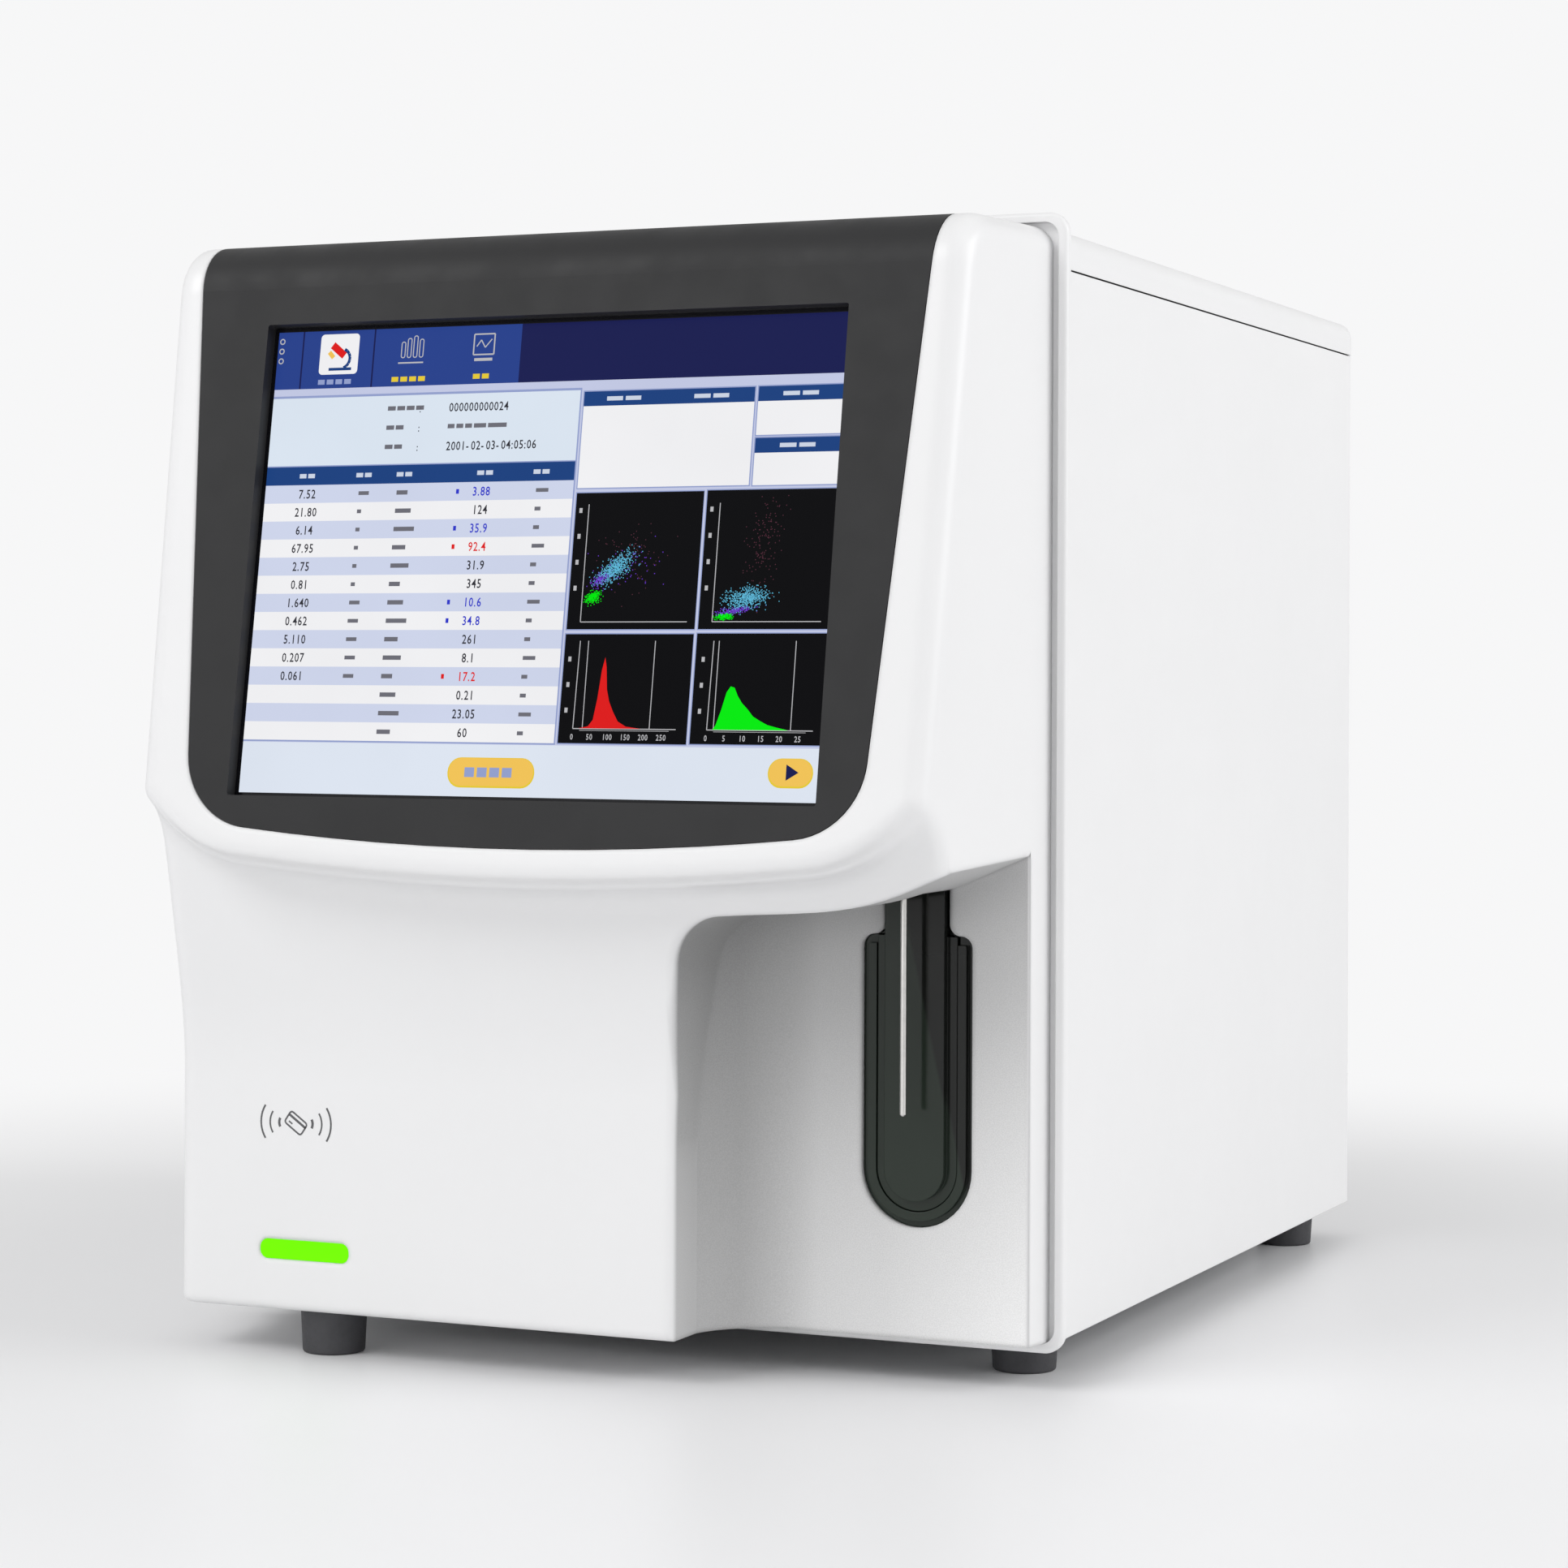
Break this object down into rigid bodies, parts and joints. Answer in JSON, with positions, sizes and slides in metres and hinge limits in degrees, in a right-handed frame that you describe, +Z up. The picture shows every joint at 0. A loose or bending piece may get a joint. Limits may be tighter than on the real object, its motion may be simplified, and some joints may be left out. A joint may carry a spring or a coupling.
{
  "type": "hematology analyzer",
  "caption": "Bench-top blood analyzer: raked touch display over an open sampling bay with a lifting probe and a tall key behind it, in a sheet-metal case on rubber feet.",
  "frame": {"origin": "middle of the base of the overall box, on the plane of the feet", "axes": "+X to the right seen from the front, -Y to the front, +Z up"},
  "size_m": [0.32, 0.4732, 0.3862],
  "materials": {
    "white_moulding": "fine satin moulding",
    "white_paint": "smooth satin powder coat",
    "dark_bezel": "even satin dark grey",
    "screen_glass": "smooth touch glass over the display",
    "dark_metal": "satin black",
    "steel_sheet": "zinc-plated sheet",
    "green_light": "lit green lens",
    "circuit_board": "green solder mask",
    "black_gloss": "polished black",
    "foot_rubber": "matt dark grey rubber",
    "screw_steel": "nickel-plated",
    "ground_steel": "ground stainless steel",
    "alloy": "machined aluminium",
    "belt_rubber": "black belt",
    "natural_plastic": "natural engineering plastic",
    "clear_glass": "clear glass",
    "black_plastic": "black plastic",
    "socket_steel": "plated socket shells",
    "brass": "plated brass"
  },
  "bodies": {
    "chassis": {"front_housing": "white_moulding", "rim_frame": "white_moulding", "front_base_plate": "white_paint", "display_bezel": "dark_bezel", "touch_screen": "screen_glass", "lcd_module": "dark_metal", "lcd_bracket": "steel_sheet", "status_light": "green_light", "led_board": "circuit_board", "card_reader_board": "circuit_board", "key_surround": "black_gloss", "key_switch": "circuit_board", "base_tray": "steel_sheet", "foot_front_left": "foot_rubber", "foot_front_right": "foot_rubber", "foot_rear_left": "foot_rubber", "foot_rear_right": "foot_rubber", "chassis_screws": "screw_steel", "top_cover": "white_paint", "left_panel": "white_paint", "right_panel": "white_paint", "rear_panel": "white_paint", "rear_angles": "steel_sheet", "mid_wall": "steel_sheet", "main_board": "circuit_board", "power_supply": "steel_sheet", "lift_bracket": "steel_sheet", "guide_rods": "ground_steel", "lift_motor": "dark_metal", "idler_pin": "ground_steel", "lift_belt": "belt_rubber", "rinse_block": "natural_plastic", "syringe_bracket": "steel_sheet", "syringe_barrels": "clear_glass", "syringe_motors": "dark_metal", "bath_bracket": "steel_sheet", "counting_baths": "clear_glass", "optical_bench": "alloy", "laser_module": "alloy", "flow_cell": "natural_plastic", "detector_block": "dark_metal", "valve_manifold": "natural_plastic", "solenoid_valves": "black_plastic", "diaphragm_pumps": "black_plastic", "vacuum_chamber": "natural_plastic", "fan_frame": "black_plastic", "fan_guard": "screw_steel", "mains_inlet": "black_plastic", "io_sockets": "socket_steel", "hose_fittings": "natural_plastic", "earth_stud": "brass"},
    "key": {"aspirate_key": "black_gloss"},
    "lift_carriage": {"probe_carriage": "alloy", "probe_needle": "ground_steel"},
    "lift_drive": {"drive_pulley": "alloy"},
    "lift_idler": {"idler_pulley": "alloy"},
    "syringe_front": {"front_piston": "ground_steel"},
    "syringe_rear": {"rear_piston": "ground_steel"},
    "fan": {"fan_rotor": "black_plastic"},
    "rocker": {"power_rocker": "black_plastic"}
  },
  "joints": [
    {"name": "key_press", "type": "slide", "parent": "chassis", "child": "key", "axis": [0, 1, 0], "range_m": [0, 0.0025], "stiffness_N_per_m": 400},
    {"name": "probe_lift", "type": "slide", "parent": "chassis", "child": "lift_carriage", "axis": [0, 0, 1], "range_m": [0, 0.074]},
    {"name": "drive_turn", "type": "hinge", "parent": "chassis", "child": "lift_drive", "pos_m": [0.1128, -0.13543, 0.196], "axis": [0, 1, 0], "range_deg": [0, 423.99]},
    {"name": "idler_turn", "type": "hinge", "parent": "chassis", "child": "lift_idler", "pos_m": [0.1128, -0.13543, 0.318], "axis": [0, 1, 0], "range_deg": [0, 423.99]},
    {"name": "front_piston_slide", "type": "slide", "parent": "chassis", "child": "syringe_front", "axis": [0, 0, 1], "range_m": [0, 0.032]},
    {"name": "rear_piston_slide", "type": "slide", "parent": "chassis", "child": "syringe_rear", "axis": [0, 0, 1], "range_m": [0, 0.032]},
    {"name": "fan_spin", "type": "hinge", "parent": "chassis", "child": "fan", "pos_m": [0.085, 0.20857, 0.3], "axis": [0, 1, 0], "continuous": true},
    {"name": "rocker_tip", "type": "hinge", "parent": "chassis", "child": "rocker", "pos_m": [-0.062, 0.21957, 0.07], "axis": [1, 0, 0], "range_deg": [-16, 0]}
  ],
  "couplings": [
    {"joint": "drive_turn", "follows": "probe_lift", "rad_per_m": 100},
    {"joint": "idler_turn", "follows": "probe_lift", "rad_per_m": 100}
  ]
}
